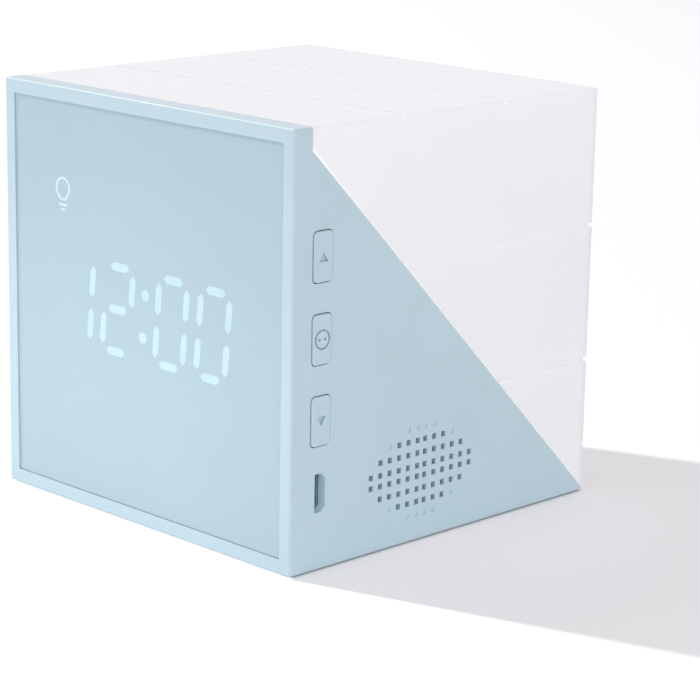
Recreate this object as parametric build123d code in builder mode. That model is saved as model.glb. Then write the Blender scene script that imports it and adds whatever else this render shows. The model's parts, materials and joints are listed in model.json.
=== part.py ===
from build123d import *
from math import hypot, radians, tan
import os

os.makedirs("parts", exist_ok=True)

# All sizes are in millimetres.
# Case: a cube on four low feet. Its sizes leave the feet out.
case_width = 90.0
case_depth = 90.0
case_height = 90.0
wall = 2.0
edge_round = 0.5
seam_gap = 0.06
tip_land = 0.8
overrun = 1.0

# Feet
foot_diameter = 8.0
foot_proud = 0.3
foot_recess = 0.9
foot_inset = 10.0
foot_gap = 0.1
foot_round = 0.3

# Front frame and the panel that lies in it
frame_depth = 4.7
frame_border = 3.1
window_round = 0.3
panel_ledge = 2.0
panel_recess = 0.3
panel_thickness = 2.3
panel_gap = 0.1
inlay_gap = 0.02

# Four slanted digits with a colon, lit through the panel. Their widths are shares of the light box.
display_across = 0.3
display_rise = 0.2
pair_spacing_share = 0.479
digit_spacing_share = 0.2065
digit_width_share = 0.1387
level_bar_share = 0.0952
digit_height = 18.3
bar_width = 1.8
upright_bar = 6.8
colon_dot = 2.4
slant_share = 0.09
bar_shares = {
    "a": (0, 1),
    "b": (1, 0.5),
    "c": (1, -0.5),
    "d": (0, -1),
    "e": (-1, -0.5),
    "f": (-1, 0.5),
    "g": (0, 0),
}
lit_bars = ["bc", "abdeg", "abcdef", "abcdef"]
dark_bars = ["adefg", "cf", "g", "g"]

# Lamp sign: a bulb drawn in one line, with two short bars under its neck
bulb_across_share = -0.31
bulb_rise = 23.25
bulb_diameter = 4.8
bulb_line = 0.5
bulb_neck = 1.9
bulb_neck_drop = 2.65
bulb_shoulder_share = 0.75
bulb_cap_drop = 3.6
bulb_cap_width = 2.6
bulb_tip_drop = 4.65
bulb_tip_width = 1.4
sign_depth = 0.8

# Light box of the display, with one lamp behind each bar
reflector_side_gap = 5.4
reflector_height = 26.0
reflector_depth = 6.8
display_lamp = 0.8

# Main board, on four posts behind the front frame
board_thickness = 1.6
board_side_gap = 3.0
board_bottom = 5.0
board_plate_gap = 1.0
board_hole_gap = 0.2
post_diameter = 5.5
post_inset = 3.5
tab_size = 8.0

# Self-tapping screws
screw_shank = 2.0
screw_head = 3.6
screw_head_height = 1.3
screw_length = 6.0
screw_gap = 0.05
screw_slot = 0.6
screw_slot_depth = 0.6
pilot_spare = 0.5

# Push keys in the right-hand wall, evenly spaced from the board's upper post down to the charging slot
key_post_gap = 1.53
key_slot_gap = 4.75
key_width = 5.1
key_pitch_share = 0.6135
key_round = 1.0
key_edge_round = 0.25
key_gap = 0.2
key_proud = 0.3
key_travel = 0.3
key_lip = 1.0
flange_gap = 0.2
flange_thickness = 1.2
mark_depth = 0.4
arrow_width = 2.5
arrow_height = 2.0
ring_diameter = 4.2
ring_line = 0.45
dot_diameter = 0.6
dot_spacing = 1.5

# Side-push switches that the keys work
switch_depth = 3.6
switch_length = 6.0
switch_height = 3.4
stem_rise = 1.55
stem_length = 2.6
stem_width = 1.3
stem_grip = 1.2
stem_gap = 0.08

# Charging socket and the slot in the wall in front of it
socket_post_gap = 1.1
socket_length = 7.5
socket_width = 2.7
socket_reach = 5.0
socket_skin = 0.3
socket_chamfer = 1.0
socket_gap = 0.1
tongue_block = 1.0
tongue_length = 3.5
tongue_thickness = 0.7
slot_margin = 0.3
slot_side_margin = 0.1

# Speaker behind the grille
speaker_depth_share = 0.414
speaker_height_share = 1 / 6
speaker_length_share = 1 / 3
speaker_width = 20.0
speaker_rim = 2.2
speaker_frame_depth = 3.2
speaker_back = 0.8
gasket_thickness = 0.8
gasket_width = 2.0
cone_thickness = 0.4
cone_inset = 1.0
cone_dome = 11.0
cone_dome_rise = 1.4
magnet_diameter = 14.0
magnet_depth = 3.0
holder_wall = 1.2
holder_height = 3.0
holder_gap = 0.2

# Grille: square holes in an oval, and blind dots round it
hole_size = 1.2
hole_pitch_across = 2.715
hole_pitch_up = 2.73
hole_middle_across = 2.22
hole_middle_up = 2.28
hole_columns = 6
hole_rows = 4
hole_oval_length = 32.0
hole_oval_height = 15.0
dot_size = 1.0
dot_depth = 0.15
dot_oval_length = 30.0
dot_oval_height = 20.6

# Cell on two saddles of the floor, between the leads on its left and the speaker's magnet
cell_diameter = 18.4
cell_lead_room = 8.4
cell_magnet_gap = 4.6
cell_round = 1.0
cell_depth_share = 0.556
cell_lift = 0.8
saddle_spacing_share = 0.61
saddle_thickness = 2.0
saddle_gap = 0.2
saddle_wall = 2.0
saddle_height = 6.0

# Small parts on the back of the main board
chip_size = 10.0
chip_thickness = 1.6
chip_across = -14.0
chip_height = 56.0
chip_leg = 0.4
chip_leg_reach = 0.9
chip_leg_thickness = 0.3
chip_leg_pitch = 1.0
chip_leg_count = 8
crystal_length = 8.0
crystal_width = 3.5
crystal_thickness = 3.0
crystal_gap = 3.35
header_inset = 10.0
header_width = 4.6
header_length = 7.8
header_depth = 5.5
header_floor = 1.5
header_wall = 0.7
plug_gap = 0.1
plug_proud = 2.0

# Leads
lead_diameter = 1.2
lead_pitch = 1.7
battery_lead_start = 4.0
battery_lead_slant = 14.0
battery_lead_side = 4.0
speaker_lead_inset = 2.8
speaker_lead_start = 3.7
speaker_lead_board_inset = 10.0
speaker_lead_end = 8.0
lamp_lead_drop = 10.0
lamp_lead_inset = 3.0
lead_bend_share = 0.45

# Reflecting plate under the seam, on a rail along each side wall
plate_drop = 0.6
plate_thickness = 1.5
plate_gap = 0.4
plate_end_gap = 1.2
rail_width = 6.0
rail_thickness = 5.0
rail_end_gap = 1.3
rail_back_inset = 16.0
rail_screw_inset = 10.0
lead_hole_gap = 0.6

# Lamp board on the plate
lamp_board_width = 56.0
lamp_board_length = 18.0
lamp_board_thickness = 1.2
lamp_size = 5.0
lamp_thickness = 1.5
lamp_columns = 4
lamp_rows = 2
lamp_side_gap = 7.0
lamp_end_gap = 3.0
lamp_screw_inset = 3.5
lamp_boss = 5.0
lamp_boss_depth = 4.0

# Diffuser: the white half of the cube, hooked into the frame and screwed at the back
diffuser_round = 0.9
groove_width = 1.0
groove_depth = 0.8
groove_cells = 3
hook_width = 14.0
hook_thickness = 1.2
hook_reach = 2.0
hook_gap = 0.15
hook_spacing = 50.0
boss_diameter = 6.0
boss_height = 10.0
boss_wall_gap = 1.5
boss_spacing = 40.0
boss_rib = 1.6
head_recess = 1.6
head_gap = 0.3


# Places: depth is counted back from the front face, height up from the underside of the case.
def deep(distance):
    """Y of a point this far behind the front face."""
    return distance - case_depth / 2


def high(distance):
    """Z of a point this far above the underside of the case."""
    return foot_proud + distance


def front_plane(depth):
    """Plane facing forward at this depth: across and up."""
    return Plane((0, deep(depth), high(0)), x_dir=(1, 0, 0), z_dir=(0, -1, 0))


def side_plane(inset):
    """Plane facing right, this far inside the right-hand face: depth and height."""
    return Plane((case_width / 2 - inset, deep(0), high(0)), x_dir=(0, 1, 0), z_dir=(1, 0, 0))


def seam_height(depth):
    """Height of the seam, which falls from the top front edge to the bottom back edge."""
    return case_height * (1 - depth / case_depth)


def along_seam(depth):
    """Distance down the seam from the top front edge to this depth."""
    return depth * seam_length / case_depth


# The seam plane: across, and down the slope. Its normal points up and back, out of the clock half.
seam_length = hypot(case_depth, case_height)
seam = Plane((0, deep(0), high(case_height)), x_dir=(1, 0, 0), z_dir=(0, case_height, case_depth))
rise_share = seam_length / case_depth
lean_share = case_height / seam_length

# Sizes that follow from the ones above
inner_width = case_width - 2 * wall
window_width = case_width - 2 * frame_border
window_height = case_height - 2 * frame_border
panel_seat = panel_recess + panel_thickness
tip_depth = case_depth - tip_land
board_front = panel_seat + reflector_depth
board_rear = board_front + board_thickness
board_inset = wall + board_side_gap
board_half = case_width / 2 - board_inset
plate_under = plate_drop + plate_thickness
board_top = seam_height(board_rear) - plate_under * rise_share - board_plate_gap
post_across = board_half - post_inset
post_places = [
    (side * post_across, height)
    for side in (-1, 1)
    for height in (board_bottom + post_inset, board_top - post_inset)
]
pilot_diameter = screw_shank + 2 * screw_gap
pilot_depth = screw_length + pilot_spare
reflector_width = 2 * (board_half - switch_depth - reflector_side_gap)
display_height = case_height / 2 + display_rise
pair_spacing = pair_spacing_share * reflector_width
digit_spacing = digit_spacing_share * reflector_width
digit_width = digit_width_share * reflector_width
level_bar = level_bar_share * reflector_width
bulb_across = bulb_across_share * window_width
bulb_height = display_height + bulb_rise
socket_depth = board_front - socket_width / 2
socket_height = board_bottom + post_inset + post_diameter / 2 + socket_post_gap + socket_length / 2
slot_length = socket_length + 2 * slot_margin
slot_top = socket_height + slot_length / 2
key_depth = board_front - stem_rise
key_back = wall + flange_gap + flange_thickness
up_height = board_top - post_inset - post_diameter / 2 - key_post_gap - switch_length / 2
key_pitch = (up_height - slot_top - key_slot_gap - key_lip) / (2 + key_pitch_share / 2)
key_height = key_pitch_share * key_pitch
key_heights = {"up": up_height, "set": up_height - key_pitch, "down": up_height - 2 * key_pitch}
crystal_height = chip_height - chip_size / 2 - chip_leg_reach - crystal_gap - crystal_width / 2
boss_depth = case_depth - wall - boss_wall_gap - boss_diameter / 2
boss_foot = seam_height(boss_depth + boss_diameter / 2)
boss_places = [(-boss_spacing / 2, deep(boss_depth)), (boss_spacing / 2, deep(boss_depth))]
foot_places = [
    (side * (case_width / 2 - foot_inset), deep(depth))
    for side in (-1, 1)
    for depth in (foot_inset, case_depth - foot_inset)
]
plate_start = along_seam(frame_depth + plate_end_gap + plate_under * lean_share)
plate_end = along_seam(boss_depth - boss_diameter / 2 - plate_end_gap)
plate_middle = (plate_start + plate_end) / 2
rail_under = plate_under + rail_thickness
rail_start = along_seam(board_rear + screw_head_height + rail_end_gap + rail_under * lean_share)
rail_end = plate_end - rail_back_inset
rail_across = inner_width / 2 - rail_width / 2
plate_screw_places = [
    (side * rail_across, place)
    for side in (-1, 1)
    for place in (rail_start + rail_screw_inset, rail_end - rail_screw_inset)
]
lamp_screw_places = [
    (side * (lamp_board_width / 2 - lamp_screw_inset), plate_middle) for side in (-1, 1)
]
lamp_lead_place = plate_middle - lamp_board_length / 2 + lamp_lead_inset
hook_height = case_height - frame_border / 2
speaker_depth = speaker_depth_share * case_depth
speaker_height = speaker_height_share * case_height
speaker_length = speaker_length_share * case_depth
speaker_back_inset = wall + gasket_thickness + speaker_frame_depth + speaker_back
cell_left = cell_lead_room - inner_width / 2
cell_right = case_width / 2 - speaker_back_inset - magnet_depth - cell_magnet_gap
cell_length = cell_right - cell_left
cell_depth = cell_depth_share * case_depth
cell_height = wall + cell_lift + cell_diameter / 2
saddle_spacing = saddle_spacing_share * cell_length
header_across = header_inset - board_half
holder_length = speaker_length + 2 * holder_gap
holder_width = speaker_width + 2 * holder_gap
cone_length = speaker_length - 2 * cone_inset
cone_width = speaker_width - 2 * cone_inset


# Outlines that more than one piece uses
def bar_outline(length, upright):
    """Corners of one bar of a digit: a slim hexagon that leans with the slant."""
    tip = length / 2
    half = bar_width / 2
    corners = [
        (-tip, 0),
        (half - tip, half),
        (tip - half, half),
        (tip, 0),
        (tip - half, -half),
        (half - tip, -half),
    ]
    if upright:
        corners = [(across, along) for along, across in reversed(corners)]
    return [(across + slant_share * up, up) for across, up in corners]


def bar_places(shown):
    """Middle of each bar that is named, with its length and whether it stands upright."""
    digit_places = [
        display_across + pair * pair_spacing / 2 + side * digit_spacing / 2
        for pair in (-1, 1)
        for side in (-1, 1)
    ]
    places = []
    for digit_place, letters in zip(digit_places, shown):
        for letter in letters:
            across_share, up_share = bar_shares[letter]
            rise = up_share * digit_height / 2
            across = digit_place + across_share * digit_width / 2 + slant_share * rise
            upright = across_share != 0
            places.append(((across, display_height + rise), upright_bar if upright else level_bar, upright))
    return places


def colon_places():
    """Middles of the two dots between the hours and the minutes."""
    rises = [digit_height / 4, -digit_height / 4]
    return [(display_across + slant_share * rise, display_height + rise) for rise in rises]


def draw_bars(shown):
    """Draw the named bars of the four digits in the sketch that is open."""
    for place, length, upright in bar_places(shown):
        with Locations(place):
            Polygon(*bar_outline(length, upright))


def draw_colon(gap):
    """Draw the two dots of the colon, larger all round by the gap."""
    with Locations(*colon_places()):
        Circle(colon_dot / 2 + gap)


def draw_bulb(gap):
    """Draw the lamp sign, larger all round by the gap."""
    radius = bulb_diameter / 2
    shoulder = bulb_shoulder_share * radius
    with Locations((bulb_across, bulb_height)):
        for grow, mode in ((gap, Mode.ADD), (-bulb_line - gap, Mode.SUBTRACT)):
            Circle(radius + grow, mode=mode)
            Polygon(
                (-shoulder - grow, -shoulder),
                (shoulder + grow, -shoulder),
                (bulb_neck / 2 + grow, -bulb_neck_drop - grow),
                (-bulb_neck / 2 - grow, -bulb_neck_drop - grow),
                mode=mode,
            )
    with Locations((bulb_across, bulb_height - bulb_cap_drop)):
        SlotOverall(bulb_cap_width + 2 * gap, bulb_line + 2 * gap)
    with Locations((bulb_across, bulb_height - bulb_tip_drop)):
        SlotOverall(bulb_tip_width + 2 * gap, bulb_line + 2 * gap)


def socket_outline(length, width, chamfer):
    """Corners of the charging socket: straight in front, with its back corners cut off."""
    return [
        (-width / 2, -length / 2),
        (-width / 2, length / 2),
        (width / 2 - chamfer, length / 2),
        (width / 2, length / 2 - chamfer),
        (width / 2, chamfer - length / 2),
        (width / 2 - chamfer, -length / 2),
    ]


def grille_places():
    """Middles of the grille's holes and of the blind dots round them, as depth and height."""
    holes = []
    dots = []
    for column in range(hole_columns):
        for row in range(hole_rows):
            across = hole_middle_across / 2 + column * hole_pitch_across
            up = hole_middle_up / 2 + row * hole_pitch_up
            corners = [
                (speaker_depth + side * across, speaker_height + level * up)
                for side in (-1, 1)
                for level in (-1, 1)
            ]
            if hypot(2 * across / hole_oval_length, 2 * up / hole_oval_height) < 1:
                holes.extend(corners)
            elif hypot(2 * across / dot_oval_length, 2 * up / dot_oval_height) < 1:
                dots.extend(corners)
    return holes, dots


def bend_radii(points):
    """Radius of each bend of a lead: as large as its two runs allow."""
    radii = []
    for before, here, after in zip(points, points[1:], points[2:]):
        run_in = Vector(here) - Vector(before)
        run_out = Vector(after) - Vector(here)
        turn = radians(run_in.get_angle(run_out))
        radii.append(lead_bend_share * min(run_in.length, run_out.length) / tan(turn / 2))
    return radii


def add_screws(seat, places, length):
    """Add screws whose heads lie on the seat plane and whose shanks go through it."""
    with BuildSketch(seat) as heads:
        with Locations(*places):
            Circle(screw_head / 2)
    extrude(heads.sketch, amount=screw_head_height)
    with BuildSketch(seat) as shanks:
        with Locations(*places):
            Circle(screw_shank / 2)
    extrude(shanks.sketch, amount=-length)
    with BuildSketch(seat.offset(screw_head_height)) as slots:
        with Locations(*places):
            Rectangle(screw_head - 2 * screw_slot, screw_slot)
            Rectangle(screw_slot, screw_head - 2 * screw_slot)
    extrude(slots.sketch, amount=-screw_slot_depth, mode=Mode.SUBTRACT)


grille_holes, grille_dots = grille_places()

# Clock half: front frame, floor and two triangular side walls in one moulding
with BuildPart() as housing:
    with Locations((0, 0, high(0))):
        Box(case_width, case_depth, case_height, align=(Align.CENTER, Align.CENTER, Align.MIN))
    front_edges = housing.faces().sort_by(Axis.Y)[0].edges()
    fillet(front_edges + housing.edges().filter_by(Axis.Y), radius=edge_round)
    with BuildSketch(Plane.YZ):
        Polygon(
            (deep(frame_depth), high(case_height + overrun)),
            (deep(frame_depth), high(seam_height(frame_depth))),
            (deep(tip_depth), high(seam_height(tip_depth))),
            (deep(tip_depth), high(-overrun)),
            (deep(case_depth + overrun), high(-overrun)),
            (deep(case_depth + overrun), high(case_height + overrun)),
        )
    extrude(amount=case_width / 2 + overrun, both=True, mode=Mode.SUBTRACT)
    with Locations((0, deep(frame_depth), high(wall))):
        Box(
            inner_width,
            case_depth,
            case_height,
            align=(Align.CENTER, Align.MIN, Align.MIN),
            mode=Mode.SUBTRACT,
        )

    # Window with the ledge that the panel lies on, and tabs on the ledge for the board's posts
    with BuildSketch(front_plane(0)):
        with Locations((0, case_height / 2)):
            RectangleRounded(window_width, window_height, window_round)
    extrude(amount=-panel_seat, mode=Mode.SUBTRACT)
    with BuildSketch(front_plane(panel_seat)):
        with Locations((0, case_height / 2)):
            Rectangle(window_width - 2 * panel_ledge, window_height - 2 * panel_ledge)
    extrude(amount=panel_seat - frame_depth, mode=Mode.SUBTRACT)
    with BuildSketch(front_plane(panel_seat)):
        with Locations(*post_places):
            Rectangle(tab_size, tab_size)
    extrude(amount=panel_seat - frame_depth)
    with BuildSketch(front_plane(frame_depth)):
        with Locations(*post_places):
            Circle(post_diameter / 2)
    extrude(amount=frame_depth - board_front)
    with BuildSketch(front_plane(board_rear)):
        with Locations(*post_places):
            Circle(pilot_diameter / 2)
    extrude(amount=pilot_depth, mode=Mode.SUBTRACT)

    # Slots that the diffuser hooks into
    with BuildSketch(front_plane(frame_depth)):
        with Locations((-hook_spacing / 2, hook_height), (hook_spacing / 2, hook_height)):
            Rectangle(hook_width + 2 * hook_gap, hook_thickness + 2 * hook_gap)
    extrude(amount=hook_reach, mode=Mode.SUBTRACT)

    # Rails for the reflecting plate
    with BuildSketch(seam.offset(-plate_under)):
        for side in (-1, 1):
            with Locations((side * (rail_across + wall / 2), (rail_start + rail_end) / 2)):
                Rectangle(rail_width + wall, rail_end - rail_start)
    extrude(amount=-rail_thickness)
    with BuildSketch(seam.offset(-plate_drop)):
        with Locations(*plate_screw_places):
            Circle(pilot_diameter / 2)
    extrude(amount=-pilot_depth, mode=Mode.SUBTRACT)

    # Saddles for the cell
    for side in (-1, 1):
        saddle_across = (cell_left + cell_right + side * saddle_spacing) / 2
        with BuildSketch(Plane.YZ.offset(saddle_across - saddle_thickness / 2)):
            with Locations((deep(cell_depth), high(wall))):
                Rectangle(
                    cell_diameter + 2 * saddle_gap + 2 * saddle_wall,
                    saddle_height,
                    align=(Align.CENTER, Align.MIN),
                )
            with Locations((deep(cell_depth), high(cell_height))):
                Circle(cell_diameter / 2 + saddle_gap, mode=Mode.SUBTRACT)
        extrude(amount=saddle_thickness)

    # Holder round the speaker, grille and blind dots
    with BuildSketch(side_plane(wall)):
        with Locations((speaker_depth, speaker_height)):
            SlotOverall(holder_length + 2 * holder_wall, holder_width + 2 * holder_wall)
            SlotOverall(holder_length, holder_width, mode=Mode.SUBTRACT)
    extrude(amount=-holder_height)
    with BuildSketch(side_plane(0)):
        with Locations(*grille_holes):
            Rectangle(hole_size, hole_size)
    extrude(amount=-wall, mode=Mode.SUBTRACT)
    with BuildSketch(side_plane(0)):
        with Locations(*grille_dots):
            Rectangle(dot_size, dot_size)
    extrude(amount=-dot_depth, mode=Mode.SUBTRACT)

    # Openings for the keys, with room inside for their flanges, and the slot of the charging socket
    for height in key_heights.values():
        with BuildSketch(side_plane(0)):
            with Locations((key_depth, height)):
                RectangleRounded(key_width + 2 * key_gap, key_height + 2 * key_gap, key_round + key_gap)
        extrude(amount=-wall, mode=Mode.SUBTRACT)
        with BuildSketch(side_plane(wall)):
            with Locations((key_depth, height)):
                Rectangle(key_width + 2 * key_gap, key_height + 2 * key_lip + 2 * key_gap)
        extrude(amount=wall - key_back - key_travel - key_gap, mode=Mode.SUBTRACT)
    slot_corners = socket_outline(
        slot_length,
        socket_width + 2 * slot_side_margin,
        socket_chamfer + slot_side_margin,
    )
    with BuildSketch(side_plane(0)):
        with Locations((socket_depth, socket_height)):
            Polygon(*slot_corners)
    extrude(amount=-wall, mode=Mode.SUBTRACT)

    # Screw posts at the back, and recesses for the feet
    with BuildSketch(Plane.XY.offset(high(0))):
        with Locations(*boss_places):
            Circle(boss_diameter / 2)
    extrude(amount=boss_foot)
    with BuildSketch(Plane.XY.offset(high(0))):
        with Locations(*boss_places):
            Circle(screw_head / 2 + head_gap)
    extrude(amount=head_recess, mode=Mode.SUBTRACT)
    with BuildSketch(Plane.XY.offset(high(0))):
        with Locations(*boss_places):
            Circle(pilot_diameter / 2)
    extrude(amount=boss_foot, mode=Mode.SUBTRACT)
    with BuildSketch(Plane.XY.offset(high(0))):
        with Locations(*foot_places):
            Circle(foot_diameter / 2 + foot_gap)
    extrude(amount=foot_recess, mode=Mode.SUBTRACT)
housing.part.label = "housing"
export_step(housing.part, "parts/housing.step")

# White half of the cube
with BuildPart() as diffuser:
    diffuser_front = frame_depth + seam_gap
    with Locations((0, deep(diffuser_front), high(0))):
        Box(
            case_width,
            case_depth - diffuser_front,
            case_height,
            align=(Align.CENTER, Align.MIN, Align.MIN),
        )
    top_edges = diffuser.faces().sort_by(Axis.Z)[-1].edges()
    back_edges = diffuser.faces().sort_by(Axis.Y)[-1].edges()
    round_edges = top_edges.filter_by(Axis.Y) + back_edges.filter_by(Axis.Z) + top_edges.sort_by(Axis.Y)[-1:]
    fillet(round_edges, radius=diffuser_round)
    with Locations((0, deep(diffuser_front + wall), high(-overrun))):
        Box(
            inner_width,
            case_depth - diffuser_front - 2 * wall,
            case_height - wall + overrun,
            align=(Align.CENTER, Align.MIN, Align.MIN),
            mode=Mode.SUBTRACT,
        )
    seam_rise = seam_gap * rise_share
    with BuildSketch(Plane.YZ):
        Polygon(
            (deep(0), high(-overrun)),
            (deep(0), high(seam_height(0) + seam_rise)),
            (deep(tip_depth + seam_gap), high(seam_height(tip_depth + seam_gap) + seam_rise)),
            (deep(tip_depth + seam_gap), high(-overrun)),
        )
    extrude(amount=case_width / 2 + overrun, both=True, mode=Mode.SUBTRACT)

    # Hooks in front, and screw bosses with a rib to the back wall
    with BuildSketch(front_plane(diffuser_front)):
        with Locations((-hook_spacing / 2, hook_height), (hook_spacing / 2, hook_height)):
            Rectangle(hook_width, hook_thickness)
    extrude(amount=hook_reach)
    with BuildSketch(Plane.XY.offset(high(boss_foot + seam_gap))):
        with Locations(*boss_places):
            Circle(boss_diameter / 2)
        for across, place in boss_places:
            with Locations((across, place)):
                Rectangle(
                    boss_rib,
                    boss_diameter / 2 + boss_wall_gap + wall / 2,
                    align=(Align.CENTER, Align.MIN),
                )
    extrude(amount=boss_height)
    with BuildSketch(Plane.XY.offset(high(boss_foot))):
        with Locations(*boss_places):
            Circle(pilot_diameter / 2)
    extrude(amount=pilot_depth, mode=Mode.SUBTRACT)

    # Grooves: level ones round the sides and back, upright ones over the top and down the back
    for cell in range(1, groove_cells):
        with BuildSketch(Plane.XY.offset(high(case_height * cell / groove_cells - groove_width / 2))):
            Rectangle(case_width + 2 * overrun, case_depth + 2 * overrun)
            with Locations((0, -overrun)):
                RectangleRounded(
                    case_width - 2 * groove_depth,
                    case_depth - 2 * groove_depth + 2 * overrun,
                    diffuser_round - groove_depth,
                    mode=Mode.SUBTRACT,
                )
        extrude(amount=groove_width, mode=Mode.SUBTRACT)
        groove_across = case_width * cell / groove_cells - case_width / 2
        with BuildSketch(Plane.YZ.offset(groove_across - groove_width / 2)):
            with Locations((0, high(case_height / 2))):
                Rectangle(case_depth + 2 * overrun, case_height + 2 * overrun)
            with Locations((-overrun, high(case_height / 2) - overrun)):
                RectangleRounded(
                    case_depth - 2 * groove_depth + 2 * overrun,
                    case_height - 2 * groove_depth + 2 * overrun,
                    diffuser_round - groove_depth,
                    mode=Mode.SUBTRACT,
                )
        extrude(amount=groove_width, mode=Mode.SUBTRACT)
        with Locations((0, deep(case_depth * cell / groove_cells), high(case_height))):
            Box(
                case_width,
                groove_width,
                groove_depth,
                align=(Align.CENTER, Align.CENTER, Align.MAX),
                mode=Mode.SUBTRACT,
            )
diffuser.part.label = "diffuser"
export_step(diffuser.part, "parts/diffuser.step")

# Front panel, with openings that the bars, the colon and the lamp sign fill flush
with BuildPart() as front_panel:
    with BuildSketch(front_plane(panel_recess)):
        with Locations((0, case_height / 2)):
            RectangleRounded(
                window_width - 2 * panel_gap,
                window_height - 2 * panel_gap,
                window_round - panel_gap,
            )
    extrude(amount=-panel_thickness)
    with BuildSketch(front_plane(panel_recess)):
        draw_bars(lit_bars)
        draw_bars(dark_bars)
        draw_colon(inlay_gap)
    extrude(amount=-panel_thickness, mode=Mode.SUBTRACT)
    with BuildSketch(front_plane(panel_recess)):
        draw_bulb(inlay_gap)
    extrude(amount=-sign_depth, mode=Mode.SUBTRACT)
front_panel.part.label = "front_panel"
export_step(front_panel.part, "parts/front_panel.step")

with BuildPart() as lit_segments:
    with BuildSketch(front_plane(panel_recess)):
        draw_bars(lit_bars)
        draw_colon(0)
    extrude(amount=-panel_thickness)
lit_segments.part.label = "lit_segments"
export_step(lit_segments.part, "parts/lit_segments.step")

with BuildPart() as dark_segments:
    with BuildSketch(front_plane(panel_recess)):
        draw_bars(dark_bars)
    extrude(amount=-panel_thickness)
dark_segments.part.label = "dark_segments"
export_step(dark_segments.part, "parts/dark_segments.step")

with BuildPart() as lamp_sign:
    with BuildSketch(front_plane(panel_recess)):
        draw_bulb(0)
    extrude(amount=-sign_depth)
lamp_sign.part.label = "lamp_sign"
export_step(lamp_sign.part, "parts/lamp_sign.step")

# Light box between the panel and the main board
with BuildPart() as display_reflector:
    with BuildSketch(front_plane(panel_seat)):
        with Locations((display_across, display_height)):
            Rectangle(reflector_width, reflector_height)
        with Locations(*colon_places()):
            Circle(colon_dot / 2, mode=Mode.SUBTRACT)
        for place, length, upright in bar_places(lit_bars) + bar_places(dark_bars):
            with Locations(place):
                Polygon(*bar_outline(length, upright), mode=Mode.SUBTRACT)
    extrude(amount=-reflector_depth)
display_reflector.part.label = "display_reflector"
export_step(display_reflector.part, "parts/display_reflector.step")

with BuildPart() as display_lamps:
    with BuildSketch(front_plane(board_front)):
        with Locations(*colon_places()):
            Rectangle(display_lamp, display_lamp)
        for place, length, upright in bar_places(lit_bars) + bar_places(dark_bars):
            with Locations(place):
                Rectangle(display_lamp, display_lamp)
    extrude(amount=display_lamp)
display_lamps.part.label = "display_lamps"
export_step(display_lamps.part, "parts/display_lamps.step")

# Main board and its screws
with BuildPart() as main_board:
    with BuildSketch(front_plane(board_front)):
        with Locations((0, board_bottom)):
            Rectangle(2 * board_half, board_top - board_bottom, align=(Align.CENTER, Align.MIN))
        with Locations(*post_places):
            Circle(screw_shank / 2 + board_hole_gap, mode=Mode.SUBTRACT)
    extrude(amount=-board_thickness)
main_board.part.label = "main_board"
export_step(main_board.part, "parts/main_board.step")

with BuildPart() as board_screws:
    board_seat = Plane((0, deep(board_rear), high(0)), x_dir=(-1, 0, 0), z_dir=(0, 1, 0))
    add_screws(board_seat, [(-across, height) for across, height in post_places], screw_length)
board_screws.part.label = "board_screws"
export_step(board_screws.part, "parts/board_screws.step")

# Keys, and the switch stems that move with them
for name, height in key_heights.items():
    with BuildPart() as key:
        with BuildSketch(side_plane(-key_proud)):
            with Locations((key_depth, height)):
                RectangleRounded(key_width, key_height, key_round)
        extrude(amount=-key_back - key_proud)
        fillet(key.faces().sort_by(Axis.X)[-1].edges(), radius=key_edge_round)
        with BuildSketch(side_plane(wall + flange_gap)):
            with Locations((key_depth, height)):
                Rectangle(key_width, key_height + 2 * key_lip)
        extrude(amount=-flange_thickness)
        with BuildSketch(side_plane(-key_proud)):
            with Locations((key_depth, height)):
                if name == "set":
                    Circle(ring_diameter / 2)
                    Circle(ring_diameter / 2 - ring_line, mode=Mode.SUBTRACT)
                    with Locations((-dot_spacing / 2, 0), (dot_spacing / 2, 0)):
                        Circle(dot_diameter / 2)
                else:
                    point = arrow_height / 2 if name == "up" else -arrow_height / 2
                    Polygon((-arrow_width / 2, -point), (0, point), (arrow_width / 2, -point))
        extrude(amount=-mark_depth, mode=Mode.SUBTRACT)
    key.part.label = f"{name}_key"
    export_step(key.part, f"parts/{name}_key.step")

    with BuildPart() as stem:
        with BuildSketch(side_plane(key_back)):
            with Locations((key_depth, height)):
                Rectangle(stem_width, stem_length)
        extrude(amount=key_back - board_inset - stem_grip)
    stem.part.label = f"{name}_switch_stem"
    export_step(stem.part, f"parts/{name}_switch_stem.step")

with BuildPart() as switch_bodies:
    with BuildSketch(front_plane(board_front)):
        for height in key_heights.values():
            with Locations((board_half, height)):
                Rectangle(switch_depth, switch_length, align=(Align.MAX, Align.CENTER))
    extrude(amount=switch_height)
    with BuildSketch(side_plane(board_inset)):
        for height in key_heights.values():
            with Locations((key_depth, height)):
                Rectangle(stem_width + 2 * stem_gap, stem_length + 2 * stem_gap)
    extrude(amount=-stem_grip - key_travel - stem_gap, mode=Mode.SUBTRACT)
switch_bodies.part.label = "switch_bodies"
export_step(switch_bodies.part, "parts/switch_bodies.step")

# Charging socket: a metal shell with a tongue in it
socket_inside = socket_outline(
    socket_length - 2 * socket_skin,
    socket_width - 2 * socket_skin,
    socket_chamfer - socket_skin,
)
with BuildPart() as socket_shell:
    with BuildSketch(side_plane(wall + socket_gap)):
        with Locations((socket_depth, socket_height)):
            Polygon(*socket_outline(socket_length, socket_width, socket_chamfer))
            Polygon(*socket_inside, mode=Mode.SUBTRACT)
    extrude(amount=-socket_reach)
socket_shell.part.label = "socket_shell"
export_step(socket_shell.part, "parts/socket_shell.step")

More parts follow.
